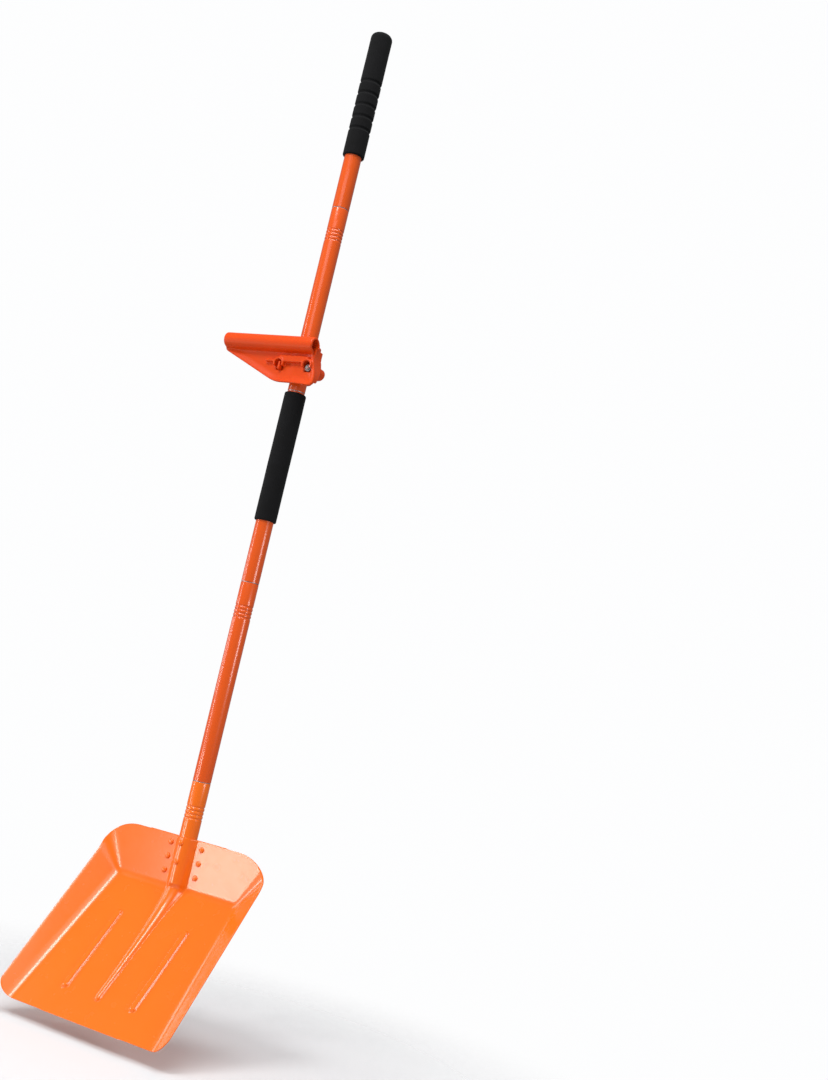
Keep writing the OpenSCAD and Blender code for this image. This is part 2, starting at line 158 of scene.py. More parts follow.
RIB_FLANK = 2.8             # width of a rib's steep flank
RIB_MARGIN = 8              # the blade's columns are close together this far to each side
SPINE_STOP = 4              # length over which the spine's end falls to the floor
NUT_HALF = 4.98             # half the nut's width across its flats
WEB_HALF = 2.3              # half the web's thickness
WEB_SWELL = (3.2, 7)        # how far the web's front comes forward at its rim, and how wide
WEB_END_X = 30.5            # right edge of the web at the bar
WEB_END_SWING = 8.5         # how far the edge swings out below
WEB_END_Z = (16, 52)        # heights between which it swings
FRONT_SADDLE_Z = (16, 71)
REAR_SADDLE_Z = (16, 70)
LEDGE_Z = (37, 46.5)
ARCH_Z = BOSS_Z + 3
POCKET_R = 5.6
HOOK_SLOT_HALF = 5.8
BAR_BORE_R = 7.4
BOLT_FIT = 0.2

# ---- Stage: lengths in metres, light in the world's own strength -------------------------

SURROUND = 0.25
BLADE_TRAVEL = 0.0205       # how far the blade's joint lowers it, and a little more
FLOOR_FADE = (0.05, 0.75)   # distances from the middle between which the floor fades out
FLOOR_ALPHA = 0.8


# ---- Numbers and meshes ------------------------------------------------------------------

def mix(a, b, t):
    return a + (b - a) * t


def clamp01(t):
    return np.clip(t, 0, 1)


def soft_max(a, b, k):
    """Larger of two heights, with a rounded corner between them."""
    return np.maximum(a, b) + np.maximum(0, k - np.abs(a - b)) ** 2 / (4 * k)


def arc(centre, radius, start, end, steps):
    """Points of an arc from angle start to angle end, in degrees."""
    turn = np.radians(np.linspace(start, end, steps))
    return [(centre[0] + radius * math.cos(t), centre[1] + radius * math.sin(t)) for t in turn]


def piece(name, points, faces, body, slot, material, stands_for=(), sharp=35):
    """Makes a smooth-shaded mesh from points in millimetres and lets it ride on a body."""
    mesh = bpy.data.meshes.new(name)
    mesh.from_pydata((np.asarray(points, float) * MM).tolist(), [], faces)
    mesh.shade_smooth()
    mesh.set_sharp_from_angle(angle=math.radians(sharp))
    obj = bpy.data.objects.new(name, mesh)
    bpy.context.collection.objects.link(obj)
    mesh.materials.append(material)
    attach(obj, body)
    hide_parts(*stands_for)
    return obj


def grid_faces(rows, columns, wrap_rows=False, wrap_columns=False, start=0):
    """Quads of a grid of points, which may close on itself either way."""
    i = np.arange(rows if wrap_rows else rows - 1)[:, None]
    j = np.arange(columns if wrap_columns else columns - 1)[None, :]
    i2, j2 = (i + 1) % rows, (j + 1) % columns
    corners = [i * columns + j, i * columns + j2, i2 * columns + j2, i2 * columns + j]
    return (np.stack([np.broadcast_to(c, corners[0].shape) for c in corners], -1)
            .reshape(-1, 4) + start).tolist()


def lathe(profile, segments=96, radius_at=None):
    """Turns a closed profile of (radius, height) round the Z axis.

    The profile runs anticlockwise as seen with the radius to the right. A profile that starts
    and ends on the axis gets a pole at each end. radius_at(radius, height, angle) may change
    the radius as it turns, as a thread or a hexagon needs.
    """
    profile = np.asarray(profile, float)
    poles = profile[0, 0] < 1e-6
    ring = profile[1:-1] if poles else profile
    angle = np.arange(segments) * 2 * math.pi / segments
    radius = np.broadcast_to(ring[:, :1], (len(ring), segments))
    height = np.broadcast_to(ring[:, 1:], (len(ring), segments))
    if radius_at:
        radius = radius_at(radius, height, angle[None, :])
    points = np.stack([radius * np.cos(angle), radius * np.sin(angle), height], -1).reshape(-1, 3)
    faces = grid_faces(len(ring), segments, wrap_rows=not poles, wrap_columns=True)
    if poles:
        first, last = len(points), len(points) + 1
        points = np.vstack([points, [0, 0, profile[0, 1]], [0, 0, profile[-1, 1]]])
        end = (len(ring) - 1) * segments
        for j in range(segments):
            k = (j + 1) % segments
            faces.append((first, k, j))
            faces.append((last, end + j, end + k))
    return points, faces


def sheet(front, rear, lip=0.0, lip_steps=4):
    """Closes two grids of points into a sheet with a rounded edge that stands out by lip."""
    rows, columns = front.shape[:2]
    count = rows * columns
    faces = grid_faces(rows, columns)
    faces += [face[::-1] for face in grid_faces(rows, columns, start=count)]
    around = [(0, j) for j in range(columns)] + [(i, columns - 1) for i in range(1, rows)]
    around += [(rows - 1, j) for j in range(columns - 2, -1, -1)]
    around += [(i, 0) for i in range(rows - 2, 0, -1)]
    index = np.array(around)
    inner = np.clip(index, 1, [rows - 2, columns - 2])
    edge_front, edge_rear = front[index[:, 0], index[:, 1]], rear[index[:, 0], index[:, 1]]
    outward = edge_front - front[inner[:, 0], inner[:, 1]]
    through = edge_rear - edge_front
    through /= np.linalg.norm(through, axis=1, keepdims=True)
    outward -= through * np.sum(outward * through, axis=1, keepdims=True)
    outward /= np.linalg.norm(outward, axis=1, keepdims=True)
    strips = [
        mix(edge_front, edge_rear, s) + outward * lip * math.sqrt(1 - (2 * s - 1) ** 2)
        for s in (0.5 - 0.5 * math.cos(math.pi * k / lip_steps) for k in range(1, lip_steps))
    ]
    loop = index[:, 0] * columns + index[:, 1]
    size = len(loop)
    rings = [loop] + [2 * count + k * size + np.arange(size) for k in range(len(strips))]
    rings.append(loop + count)
    for a, b in zip(rings, rings[1:]):
        faces += np.stack([a, b, np.roll(b, -1), np.roll(a, -1)], -1).tolist()
    points = np.vstack([front.reshape(-1, 3), rear.reshape(-1, 3), *strips])
    return points, faces


# ---- Distance fields for moulded parts ---------------------------------------------------

def smooth_union(a, b, k):
    """Union of two distance fields with a fillet of about size k."""
    h = clamp01(0.5 + 0.5 * (b - a) / k)
    return b + (a - b) * h - k * h * (1 - h)


def smooth_cut(a, b, k):
    """Field a with b cut away and the edge rounded."""
    return -smooth_union(-a, b, k)


def block(x, y, z, low, high, edge):
    """Box between two corners, with rounded edges."""
    gaps = [
        np.abs(c - (lo + hi) / 2) - (hi - lo) / 2 + edge
        for c, lo, hi in zip((x, y, z), low, high)
    ]
    outside = np.sqrt(sum(np.maximum(g, 0) ** 2 for g in gaps))
    inside = np.minimum(np.maximum(np.maximum(gaps[0], gaps[1]), gaps[2]), 0)
    return outside + inside - edge


def rod(across, along, ends, edge):
    """Solid of revolution from a distance across its side and a coordinate along it."""
    cap = np.abs(along - sum(ends) / 2) - (ends[1] - ends[0]) / 2
    a, b = across + edge, cap + edge
    return np.sqrt(np.maximum(a, 0) ** 2 + np.maximum(b, 0) ** 2) + np.minimum(
        np.maximum(a, b), 0) - edge


def field_mesh(shape, low, high, voxel):
    """Surface of the distance field shape(x, y, z) inside a box."""
    axes = [np.arange(lo, hi + voxel, voxel, dtype=np.float32) for lo, hi in zip(low, high)]
    x, y, z = np.meshgrid(*axes, indexing="ij", sparse=True)
    values = np.clip(shape(x, y, z), -3 * voxel, 3 * voxel)
    grid = openvdb.FloatGrid(3 * voxel)
    grid.copyFromArray(np.ascontiguousarray(values, np.float32))
    points, quads = grid.convertToQuads(isovalue=0.0)
    points = points * voxel + np.asarray(low)
    a, b, c, d = (points[quads[:, k]] for k in range(4))
    volume = np.sum(a * np.cross(b, c) + a * np.cross(c, d))
    quads = quads if volume > 0 else quads[:, ::-1]
    return points, quads.tolist()


# ---- Materials ---------------------------------------------------------------------------

def new_material(name, colour, roughness, metallic=0.0, **sockets):
    """Principled material whose even values sit on the shader's own sockets."""
    material = bpy.data.materials.new(name)
    material.use_nodes = True
    tree = material.node_tree
    shader = tree.nodes["Principled BSDF"]
    shader.inputs["Base Color"].default_value = (*colour, 1)
    shader.inputs["Roughness"].default_value = roughness
    shader.inputs["Metallic"].default_value = metallic
    for socket, value in sockets.items():
        shader.inputs[socket.replace("_", " ")].default_value = value
    return material, tree, shader


def texture(tree, kind, coordinates, stretch=(1, 1, 1), **inputs):
    """Texture node over the object's own coordinates, which are in metres."""
    mapping = tree.nodes.new("ShaderNodeMapping")
    mapping.inputs["Scale"].default_value = stretch
    tree.links.new(coordinates, mapping.inputs["Vector"])
    node = tree.nodes.new(kind)
    for socket, value in inputs.items():
        node.inputs[socket].default_value = value
    tree.links.new(mapping.outputs["Vector"], node.inputs["Vector"])
    return node


def object_coordinates(tree):
    return tree.nodes.new("ShaderNodeTexCoord").outputs["Object"]


def spread(tree, value, low, high):
    """Maps a value from 0..1 to low..high."""
    node = tree.nodes.new("ShaderNodeMapRange")
    node.inputs["To Min"].default_value = low
    node.inputs["To Max"].default_value = high
    tree.links.new(value, node.inputs["Value"])
    return node.outputs["Result"]


def tint(tree, factor, low, high):
    """Colour that runs from low to high with the factor."""
    node = tree.nodes.new("ShaderNodeMix")
    node.data_type = "RGBA"
    node.inputs["A"].default_value = (*low, 1)
    node.inputs["B"].default_value = (*high, 1)
    tree.links.new(factor, node.inputs["Factor"])
    return node.outputs["Result"]


def bump(tree, shader, layers):
    """Chains bump layers of (height, distance in metres, strength) into the shader."""
    previous = None
    for height, distance, strength in layers:
        node = tree.nodes.new("ShaderNodeBump")
        node.inputs["Distance"].default_value = distance
        node.inputs["Strength"].default_value = strength
        tree.links.new(height, node.inputs["Height"])
        if previous:
            tree.links.new(previous, node.inputs["Normal"])
        previous = node.outputs["Normal"]
    tree.links.new(previous, shader.inputs["Normal"])


def coated_metal(name, dark, light, roughness):
    """Coloured coating on aluminium: even colour, soft gloss and a faint orange peel."""
    material, tree, shader = new_material(name, light, roughness, Coat_Weight=0.4,
                                          Coat_Roughness=0.08, Specular_IOR_Level=0.4)
    at = object_coordinates(tree)
    cloud = texture(tree, "ShaderNodeTexNoise", at, Scale=9, Detail=3).outputs["Fac"]
    tree.links.new(tint(tree, cloud, dark, light), shader.inputs["Base Color"])
    smear = texture(tree, "ShaderNodeTexNoise", at, Scale=60, Detail=4).outputs["Fac"]
    tree.links.new(spread(tree, smear, roughness - 0.05, roughness + 0.05),
                   shader.inputs["Roughness"])
    peel = texture(tree, "ShaderNodeTexNoise", at, Scale=700, Detail=2).outputs["Fac"]
    grain = texture(tree, "ShaderNodeTexNoise", at, Scale=4000, Detail=2).outputs["Fac"]
    bump(tree, shader, [(peel, 0.00006, 0.35), (grain, 0.00001, 0.3)])
    return material


def foam(name):
    """Black closed-cell foam with fine pores."""
    material, tree, shader = new_material(
        name, (0.006, 0.006, 0.006), 0.85, Sheen_Weight=0.04, Sheen_Roughness=0.5,
        Specular_IOR_Level=0.12)
    at = object_coordinates(tree)
    cells = texture(tree, "ShaderNodeTexVoronoi", at, Scale=1500).outputs["Distance"]
    cloud = texture(tree, "ShaderNodeTexNoise", at, Scale=90, Detail=5).outputs["Fac"]
    tree.links.new(tint(tree, cloud, (0.004, 0.004, 0.004), (0.008, 0.008, 0.009)),
                   shader.inputs["Base Color"])
    pores = texture(tree, "ShaderNodeTexNoise", at, Scale=900, Detail=6).outputs["Fac"]
    bump(tree, shader, [(cells, 0.0002, 0.5), (pores, 0.0003, 0.4)])
    return material


def moulded_plastic(name, dark, light, roughness):
    """Moulded plastic with a fine eroded texture and slight flow marks."""
    material, tree, shader = new_material(name, light, roughness, Subsurface_Weight=0.08,
                                          Subsurface_Scale=0.002, Specular_IOR_Level=0.28)
    at = object_coordinates(tree)
    flow = texture(tree, "ShaderNodeTexNoise", at, (6, 25, 25), Scale=1.5, Detail=4).outputs["Fac"]
    tree.links.new(tint(tree, flow, dark, light), shader.inputs["Base Color"])
    tree.links.new(spread(tree, flow, roughness + 0.06, roughness - 0.06),
                   shader.inputs["Roughness"])
    grain = texture(tree, "ShaderNodeTexNoise", at, Scale=2600, Detail=3).outputs["Fac"]
    waves = texture(tree, "ShaderNodeTexNoise", at, Scale=120, Detail=2).outputs["Fac"]
    bump(tree, shader, [(waves, 0.00012, 0.3), (grain, 0.00004, 0.4)])
    return material


def turned_metal(name, colour, roughness, ring_scale):
    """Bare turned metal with fine tool rings round the Z axis."""
    material, tree, shader = new_material(name, colour, roughness, metallic=1.0)
    at = object_coordinates(tree)
    rings = texture(tree, "ShaderNodeTexNoise", at, (4, 4, ring_scale), Scale=1.0,
                    Detail=3).outputs["Fac"]
    smear = texture(tree, "ShaderNodeTexNoise", at, Scale=150, Detail=4).outputs["Fac"]
    shade = tuple(0.8 * c for c in colour)
    tree.links.new(tint(tree, smear, shade, colour), shader.inputs["Base Color"])
    tree.links.new(spread(tree, rings, roughness - 0.08, roughness + 0.12),
                   shader.inputs["Roughness"])
    bump(tree, shader, [(rings, 0.00005, 0.3)])
    return material


def matt_black(name, roughness):
    """Black rubber or plastic with a fine matt grain."""
    material, tree, shader = new_material(name, (0.015, 0.015, 0.016), roughness)
    at = object_coordinates(tree)
    grain = texture(tree, "ShaderNodeTexNoise", at, Scale=1800, Detail=4).outputs["Fac"]
    tree.links.new(tint(tree, grain, (0.012, 0.012, 0.013), (0.022, 0.022, 0.023)),
                   shader.inputs["Base Color"])
    bump(tree, shader, [(grain, 0.00008, 0.4)])
    return material


BLADE_COAT = coated_metal("blade_coat", (0.90, 0.160, 0.004), (0.96, 0.180, 0.006), 0.26)
SHAFT_COAT = coated_metal("shaft_coat", (0.78, 0.095, 0.005), (0.85, 0.108, 0.006), 0.28)
HANDLE_PLASTIC = moulded_plastic("handle_plastic", (0.72, 0.055, 0.003), (0.84, 0.080, 0.005),
                                 0.36)
FOAM = foam("grip_foam")
LINER_RUBBER = matt_black("liner_rubber", 0.6)
PLUG_PLASTIC = matt_black("plug_plastic", 0.5)
BARE_ALLOY = turned_metal("bare_alloy", (0.46, 0.46, 0.47), 0.36, 2500)
ZINC = turned_metal("zinc_plate", (0.56, 0.55, 0.53), 0.34, 900)


# ---- Shaft -------------------------------------------------------------------------------

def ringed_line(radius, low, high, ring_centre, step=0.25):
    """Points up a straight wall that dips through the rolled rings."""
    height = np.arange(low, high, step)
    dip = np.zeros_like(height)
    for k in range(RING_COUNT):
        gap = np.abs(height - ring_centre - (k - (RING_COUNT - 1) / 2) * RING_PITCH)
        dip += np.where(gap < RING_HALF, 0.5 + 0.5 * np.cos(math.pi * gap / RING_HALF), 0)
    return [(radius - RING_DEPTH * d, z) for d, z in zip(dip, height)]


def tube(name, low, high, ringed, body, slot, material):
    """Thin tube with eased ends and rolled rings below its upper joint."""
    ease = 0.45
    if ringed:
        centre = high - RING_DROP
        span = RING_PITCH * RING_COUNT / 2 + RING_HALF
        outer = ringed_line(TUBE_R, centre - span, centre + span, centre)
        inner = ringed_line(BORE_R, centre - span, centre + span, centre)
    else:
        outer, inner = [], []
    profile = (
        arc((TUBE_R - ease, low + ease), ease, -90, 0, 5) + outer
        + arc((TUBE_R - ease, high - ease), ease, 0, 90, 5)
        + [(BORE_R, high)] + inner[::-1] + [(BORE_R, low)]
    )
    return piece(name, *lathe(profile, 128), body, slot, material, [name])


def shaft_tubes():
    foot = COLLAR_T + 2 * JOINT_GAP
    bodies = ["lower_section", "second_section", "third_section", "top_section"]
    for k, body in enumerate(bodies):
        high = JOINT_Z[k + 1] if k < 3 else TOP_Z - CAP_T - 2
        tube(f"shaft_tube_{k + 1}", JOINT_Z[k] + foot, high, k < 3, body, "shaft_orange",
             SHAFT_COAT)
    tube("socket_tube", SOCKET_FOOT, JOINT_Z[0], True, "blade", "blade_orange", BLADE_COAT)


def thread_radius(root, crest, pitch, low, high):
    """Radius of a trapezoid thread between two heights, fading out at both ends."""
    def at(radius, height, angle):
        phase = np.mod(height / pitch - angle / (2 * math.pi), 1)
        ridge = clamp01((0.36 - np.abs(phase - 0.5)) / 0.16)
        fade = clamp01((height - low) / (0.6 * pitch)) * clamp01((high - height) / (0.4 * pitch))
        return np.where(np.abs(radius - root) < 1e-6, root + (crest - root) * ridge * fade, radius)
    return at


def studs():
    bodies = ["lower_section", "second_lead", "third_lead", "top_lead"]
    root, bore, edge = THREAD_R - 0.9, 4, 0.6
    for k, (z, body) in enumerate(zip(JOINT_Z, bodies)):
        tip, collar, collar_r = z - THREAD_L - 1.2, z + JOINT_GAP, TUBE_R - 0.4
        threaded = [(root, h) for h in np.arange(tip + 1, z - 0.1, THREAD_PITCH / 20)]
        profile = (
            [(bore, tip), (root - 0.8, tip)] + threaded + [(root, collar), (collar_r - 0.2, collar)]
            + [(collar_r, collar + 0.2), (collar_r, collar + COLLAR_T), (CORE_R, collar + COLLAR_T)]
            + [(CORE_R, collar + STUD_L - edge), (CORE_R - edge, collar + STUD_L)]
            + [(bore, collar + STUD_L)]
        )
        shape = thread_radius(root, THREAD_R, THREAD_PITCH, tip + 1, z - 0.1)
        name = f"shaft_stud_{k + 1}"
        piece(name, *lathe(profile, 96, shape), body, "bare_alloy", BARE_ALLOY, [name], 50)


# ---- Grips -------------------------------------------------------------------------------

def groove_line(radius, low, high, step=0.5):
    """Wall of the top grip, with its moulded grooves and very slight unevenness."""
    height = np.arange(low, high, step)
    dip = np.zeros_like(height)
    for k in range(GROOVES):
        gap = np.abs(height - (TOP_Z - TOP_GRIP_L + GROOVE_START + k * GROOVE_PITCH))
        dip += np.where(gap < 3.4, (0.5 + 0.5 * np.cos(math.pi * gap / 3.4)) ** 0.8, 0)
    return [(radius - GROOVE_DEPTH * d, z) for d, z in zip(dip, height)]


def uneven(amount, seed):
    """Radius change that makes foam look soft: a few slow waves."""
    rng = np.random.default_rng(seed)
    waves = [(rng.integers(1, 5), rng.uniform(0.02, 0.12), rng.uniform(0, 6)) for _ in range(6)]

    def at(radius, height, angle):
        wave = sum(np.sin(n * angle + f * height + p) for n, f, p in waves) / len(waves)
        return np.where(radius > TUBE_R + 0.4, radius + amount * wave, radius)
    return at


def grips():
    bore = TUBE_R + 0.05
    low, dome = TOP_Z - TOP_GRIP_L, 8.0
    profile = (
        [(bore, low)] + arc((TOP_GRIP_R - 2, low + 2), 2, -90, 0, 7)
        + groove_line(TOP_GRIP_R, low + 3, TOP_Z - dome - 1)
        + arc((TOP_GRIP_R - dome, TOP_Z - dome), dome, 0, 86, 14)
        + [(TOP_GRIP_R - dome - 3, TOP_Z - 0.05)]
    )
    profile = [(0, TOP_Z - CAP_T + 0.05), (bore, TOP_Z - CAP_T + 0.05)] + profile + [(0, TOP_Z)]
    top = piece("top_grip", *lathe(profile, 128, uneven(0.12, 3)), "top_section", "black_foam", FOAM,
                ["top_grip"], 60)
    high = JOINT_Z[2] - 2
    low = high - MID_GRIP_L
    wall = [(MID_GRIP_R, z) for z in np.arange(low + 3, high - 3, 1.5)]
    profile = ([(bore, low)] + arc((MID_GRIP_R - 2, low + 2), 2, -90, 0, 7) + wall
               + arc((MID_GRIP_R - 2, high - 2), 2, 0, 90, 7) + [(bore, high)])
    middle = piece("mid_grip", *lathe(profile, 128, uneven(0.15, 8)), "second_section",
                   "black_foam", FOAM, ["mid_grip"], 60)


# ---- Blade -------------------------------------------------------------------------------

ALONG = np.array([0, -math.sin(FLOOR_A), -math.cos(FLOOR_A)])
ABOVE = np.array([0, -math.cos(FLOOR_A), math.sin(FLOOR_A)])


def floor_share(v):
    return clamp01(v / FLOOR_L)


def dish(x, v):
    """Height of the pan over the floor's plane: rear wall, side walls, sagging floor."""
    rear = -v * math.tan(FLOOR_A)
    side = mix(*SIDE_RISE, floor_share(v)) * (np.abs(x) - mix(*FLOOR_W, v / FLOOR_L))
    sag = -FLOOR_SAG * np.sin(math.pi * floor_share(v)) * np.maximum(0, 1 - (x / FLOOR_W[0]) ** 2)
    soft = CORNER_K[0] + CORNER_K[1] * np.maximum(0, np.maximum(rear, side))
    return soft_max(soft_max(rear, side, soft), sag, BEND_K)


def channel_fade(v):
    return np.exp(-np.maximum(0, v - FADE_FROM) / FADE_L)


def channel_half(v):
    return mix(SPINE_W, CHANNEL_W, channel_fade(v))


def channel(x, v):
    """Height of the channel over the socket tube, which runs out into the floor's spine."""
    stop = np.sqrt(clamp01((SPINE_END - v) / SPINE_STOP))
    high = mix(SPINE_H, CHANNEL_R, channel_fade(v) ** FADE_POWER) * stop
    round_end = np.sqrt(1 - clamp01((v - SPINE_END + SPINE_W) / SPINE_W) ** 2)
    at = np.abs(x) * CHANNEL_W / (channel_half(v) * np.maximum(round_end, 0.02))
    foot = CHANNEL_R * math.sin(FLANK_A)
    flank = CHANNEL_R * math.cos(FLANK_A) - (at - foot) * math.tan(FLANK_A)
    arch = np.where(at < foot, np.sqrt(np.maximum(CHANNEL_R ** 2 - at ** 2, 0)), flank)
    return high / CHANNEL_R * soft_max(arch, 0, 2)


def rib(x, v):
    """Height of a pressed rib: flat on top, with steep flanks."""
    gap = np.hypot(np.abs(x) - RIB_X, v - np.clip(v, *RIB_V))
    t = clamp01((RIB_W - gap) / RIB_FLANK)
    return RIB_H * t * t * (3 - 2 * t)


def skin(x, v):
    """Points of the sheet's load side."""
    lean = -np.arctan(dish(0, v + 0.5) - dish(0, v - 0.5))
    rise = channel(x, v)
    up = dish(x, v) + rib(x, v) + rise * np.cos(lean)
    out = v + rise * np.sin(lean)
    origin = np.array([0, 0, BEND_Z])
    flat = out[..., None] * ALONG + up[..., None] * ABOVE + origin
    flat[..., 0] += x
    return flat


def rear_skin(x, v, step=0.2):
    """The same points on the other side of the sheet."""
    normal = np.cross(skin(x, v + step) - skin(x, v - step), skin(x + step, v) - skin(x - step, v))
    return skin(x, v) - SHEET_T * normal / np.linalg.norm(normal, axis=-1, keepdims=True)


def corner_cut(size, depth):
    return np.where(depth <= 0, 0, size[0] * (1 - np.sqrt(np.maximum(0, 1 - (depth / size[1]) ** 2))))


def rim(v):
    """Half width of the rim, with a rounded corner at each end."""
    return (mix(*RIM_W, floor_share(v)) - corner_cut(REAR_CORNER, REAR_TOP + REAR_CORNER[1] - v)
            - corner_cut(FRONT_CORNER, v - FLOOR_L + FRONT_CORNER[1]))


def blade():
    turn = np.linspace(0, math.pi / 2, 30)
    rows = np.concatenate([
        REAR_TOP + REAR_CORNER[1] * (1 - np.cos(turn)),
        np.arange(REAR_TOP + REAR_CORNER[1] + 1, 12, 0.8),
        np.arange(12, FLOOR_L - FRONT_CORNER[1], 1.4),
        FLOOR_L - FRONT_CORNER[1] * (1 - np.sin(np.linspace(0, math.pi / 2, 22))),
    ])
    # columns follow the channel's foot and the rim, and are close together over the ribs
    foot = 1.15 * channel_half(rows)[:, None]
    middle, rib_at = np.zeros_like(foot), np.full_like(foot, RIB_X)
    stops = [middle, foot, rib_at - RIB_MARGIN, rib_at + RIB_MARGIN, rim(rows)[:, None]]
    counts = (28, 16, 28, 32)
    across = np.hstack([
        mix(low, high, np.arange(count) / count)
        for low, high, count in zip(stops, stops[1:], counts)
    ] + [stops[-1]])
    x = np.hstack([-across[:, :0:-1], across])
    v = np.broadcast_to(rows[:, None], x.shape)
    points, faces = sheet(rear_skin(x, v), skin(x, v), lip=SHEET_T / 2)
    piece("blade", points, faces, "blade", "blade_orange", BLADE_COAT, ["blade"])


# ---- Strap and rivets --------------------------------------------------------------------

def strap_line(offset):
    """The strap's cross-section: wing, soft bend, round the tube, bend and wing again."""
    level = SHEET_T + 0.05
    bend = 3.0
    inner = TUBE_R + 0.05
    height = level + bend
    reach = math.sqrt((inner + bend) ** 2 - height ** 2)
    lift = math.degrees(math.atan2(height, reach))
    wing = [(x, level + offset) for x in np.linspace(STRAP_W, reach + 0.6, 14)]
    corner = arc((reach, height), bend - offset, -90, lift - 180, 12)
    saddle = arc((0, 0), inner + offset, lift + 3, 90, 24)
    side = np.array(wing + corner + saddle)
    return np.vstack([side, (side * [-1, 1])[-2::-1]])


def strap():
    """Closing strap behind the rear wall, with rounded wing corners."""
    inner, outer = strap_line(0), strap_line(STRAP_T)
    corner = 7
    depth = np.maximum(0, np.abs(inner[:, 0]) - STRAP_W + corner)
    half = STRAP_H / 2 - (corner - np.sqrt(np.maximum(corner ** 2 - depth ** 2, 0)))
    rows = np.linspace(-1, 1, 33)
    centre = STRAP_TOP - STRAP_H / 2

    def surface(line):
        z = centre + rows[:, None] * half[None, :]
        flat = [np.broadcast_to(line[:, k], z.shape) for k in (0, 1)]
        return np.stack([*flat, z], -1)
    points, faces = sheet(surface(outer), surface(inner), lip=0.5)
    piece("back_strap", points, faces, "blade", "blade_orange", BLADE_COAT, ["back_strap"])


def rivet(grip, tail_r):
    """Rivet along -Z from its head: a domed head over z = 0 and a pressed tail past the grip."""
    shank = 2.4
    dome = [(RIVET_HEAD_R * math.cos(t), 0.15 + 2.4 * math.sin(t))
            for t in np.linspace(0, math.pi / 2, 14)[:-1]]
    tail = arc((tail_r - 0.6, -grip - 0.7), 0.6, -90, 0, 5)
    profile = ([(0, -grip - 1.3)] + tail + [(tail_r, -grip), (shank, -grip), (shank, 0)]
               + [(RIVET_HEAD_R - 0.15, 0)] + dome + [(0, 2.55)])
    return lathe(profile, 40)


def rivets():
    tip_over = np.array(Matrix.Rotation(math.radians(90), 3, "X"))
    groups = {
        "strap_rivets": ([(s * RIVET_X, 0, RIVET_TOP_Z - i * RIVET_PITCH) for s in (-1, 1)
                          for i in range(3)], SHEET_T + 0.1 + STRAP_T, 3.6),
        "socket_rivets": ([(0, 0.35 - CHANNEL_R, z) for z in SOCKET_RIVET_Z],
                          CHANNEL_R - 0.35 - math.sqrt(BORE_R ** 2 - 3.2 ** 2) + 0.05, 3.2),
    }
    for name, (places, grip, tail_r) in groups.items():
        shape, faces = rivet(grip, tail_r)
        turned = shape @ tip_over.T
        points = np.vstack([turned + place for place in places])
        every = [[i + k * len(turned) for i in face] for k in range(len(places)) for face in faces]
        piece(name, points, every, "blade", "blade_orange", BLADE_COAT, [name], 50)


# ---- Auxiliary handle --------------------------------------------------------------------
# Its two mouldings are distance fields over x, y and the height above the joint under it.

def web_foot(x):
    """Height of the web's lower edge at x."""
    return WEB_FOOT_Z + soft_max(WEB_SLOPE * (WEB_TURN - x), -0.05 * np.maximum(0, x), 5)


def web_end(z):
    """Right edge of the web, which swings out below the bar."""
    t = clamp01((WEB_END_Z[1] - z) / (WEB_END_Z[1] - WEB_END_Z[0]))
    return WEB_END_X + WEB_END_SWING * t * t * (3 - 2 * t)


def handle_web(x, y, z, rim_gap):
    """Web whose front comes forward towards its rim, with the side wall at its right edge."""
    swell = WEB_SWELL[0] * np.exp(-(np.maximum(rim_gap, 0) / WEB_SWELL[1]) ** 2)
    web = np.maximum(np.abs(y - WEB_Y + swell) - WEB_HALF,
                     np.maximum(z - BAR_Z, BAR_X[0] + 0.6 - x))
    rear = -1 - 13 * clamp01((36 - z) / 26)
    side_wall = np.maximum(np.abs(x - web_end(z) + 1.6) - 1.6, np.maximum(y - rear, -21 - y))
    side_wall = np.maximum(side_wall, np.abs(z - 36) - 24)
    return smooth_union(web, side_wall, 4)


def handle_ledge(x, y, z):
    """Ledge under the bar with an arch at each end, and the rib beside it."""
    ledge = block(x, y, z, (-BOSS_X, -26.5, LEDGE_Z[0]), (BOSS_X, -16, LEDGE_Z[1]), 1.6)
    for side in (-1, 1):
        arch = rod(np.hypot(x - side * BOSS_X, z - ARCH_Z) - BOSS_R, y, (BOSS_Y, -14), 1.0)
        ledge = smooth_union(ledge, np.maximum(arch, 31 - z), 1.5)
    rib_bar = block(x, y, z, (-48, -25.5, 36.5), (-BOSS_X - 5, -16, 40), 1.4)
    return smooth_union(ledge, rib_bar, 2.0)


def teardrop_bore(x, y, z):
    """Bore of the bar, which runs to a point over the web at the open end."""
    round_bore = np.hypot(y - BAR_Y, z - BAR_Z) - BAR_BORE_R
    across = np.abs(y - BAR_Y - 0.3 * np.maximum(0, BAR_Z - z))
    point = np.maximum(across - 6 * clamp01((z - 47) / 17), np.abs(z - 55.5) - 8.5)
    point = np.maximum(point, 25 - x)
    return np.maximum(smooth_union(round_bore, point, 1.5), BAR_X[0] + 11 - x)


